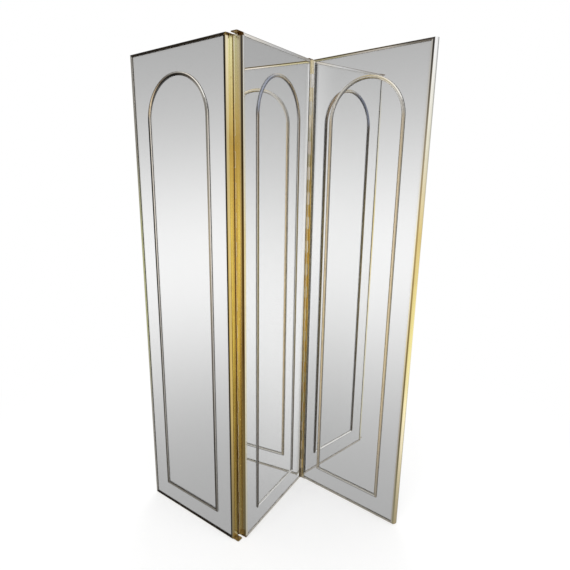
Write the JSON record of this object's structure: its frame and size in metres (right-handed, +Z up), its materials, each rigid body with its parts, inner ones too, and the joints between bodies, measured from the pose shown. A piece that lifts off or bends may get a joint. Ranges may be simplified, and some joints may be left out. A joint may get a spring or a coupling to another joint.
{
  "type": "folding room divider screen",
  "caption": "Folding mirror screen: tall mirrored panels in brass edge channels with arched beads, joined by full-height continuous hinges that fold opposite ways.",
  "frame": {"origin": "on the floor, under the middle of the outer box of the screen as it stands half folded", "axes": "+Z up; +Y away from someone who faces the mirrors; +X to that person's right"},
  "size_m": [1.0348, 0.426, 1.838],
  "materials": {
    "timber": "planed softwood, unfinished",
    "hardboard": "smooth hardboard, unfinished",
    "painted_board": "hardboard painted satin black",
    "mirror": "silvered float glass, backed with paint",
    "channel_brass": "polished brass plate on bent sheet",
    "bead_brass": "satin brass, slightly rosy",
    "hinge_brass": "brushed brass, tarnished at the knuckles",
    "pin_steel": "drawn wire",
    "screw_brass": "turned, plain",
    "plate_brass": "dull, worn",
    "glide": "nail-on nylon glide"
  },
  "bodies": {
    "centre_panel": {"centre_arch_bead": "bead_brass", "centre_back_skin": "painted_board", "centre_bottom_channel": "channel_brass", "centre_bottom_rail": "timber", "centre_front_skin": "hardboard", "centre_glides": "glide", "centre_left_channel": "channel_brass", "centre_left_lap_plate": "plate_brass", "centre_left_stile": "timber", "centre_middle_rail": "timber", "centre_mirror": "mirror", "centre_right_channel": "channel_brass", "centre_right_lap_plate": "plate_brass", "centre_right_stile": "timber", "centre_screws": "screw_brass", "centre_sill_bead": "bead_brass", "centre_top_channel": "channel_brass", "centre_top_rail": "timber", "left_hinge_centre_leaf": "hinge_brass", "left_hinge_pin": "pin_steel", "right_hinge_centre_leaf": "hinge_brass", "right_hinge_pin": "pin_steel"},
    "left_wing": {"left_hinge_wing_leaf": "hinge_brass", "left_wing_arch_bead": "bead_brass", "left_wing_back_skin": "painted_board", "left_wing_bottom_channel": "channel_brass", "left_wing_bottom_rail": "timber", "left_wing_front_skin": "hardboard", "left_wing_glides": "glide", "left_wing_left_channel": "channel_brass", "left_wing_left_stile": "timber", "left_wing_middle_rail": "timber", "left_wing_mirror": "mirror", "left_wing_right_channel": "channel_brass", "left_wing_right_lap_plate": "plate_brass", "left_wing_right_stile": "timber", "left_wing_screws": "screw_brass", "left_wing_sill_bead": "bead_brass", "left_wing_top_channel": "channel_brass", "left_wing_top_rail": "timber"},
    "right_wing": {"right_hinge_wing_leaf": "hinge_brass", "right_wing_arch_bead": "bead_brass", "right_wing_back_skin": "painted_board", "right_wing_bottom_channel": "channel_brass", "right_wing_bottom_rail": "timber", "right_wing_front_skin": "hardboard", "right_wing_glides": "glide", "right_wing_left_channel": "channel_brass", "right_wing_left_lap_plate": "plate_brass", "right_wing_left_stile": "timber", "right_wing_middle_rail": "timber", "right_wing_mirror": "mirror", "right_wing_right_channel": "channel_brass", "right_wing_right_stile": "timber", "right_wing_screws": "screw_brass", "right_wing_sill_bead": "bead_brass", "right_wing_top_channel": "channel_brass", "right_wing_top_rail": "timber"}
  },
  "joints": [
    {"name": "left_fold", "type": "hinge", "parent": "centre_panel", "child": "left_wing", "pos_m": [-0.13984, -0.17805, 0.9205], "axis": [0, 0, 1], "range_deg": [-85.47, 94.53]},
    {"name": "right_fold", "type": "hinge", "parent": "centre_panel", "child": "right_wing", "pos_m": [0.15527, 0.17821, 0.9205], "axis": [0, 0, 1], "range_deg": [-82.3, 97.7]}
  ]
}
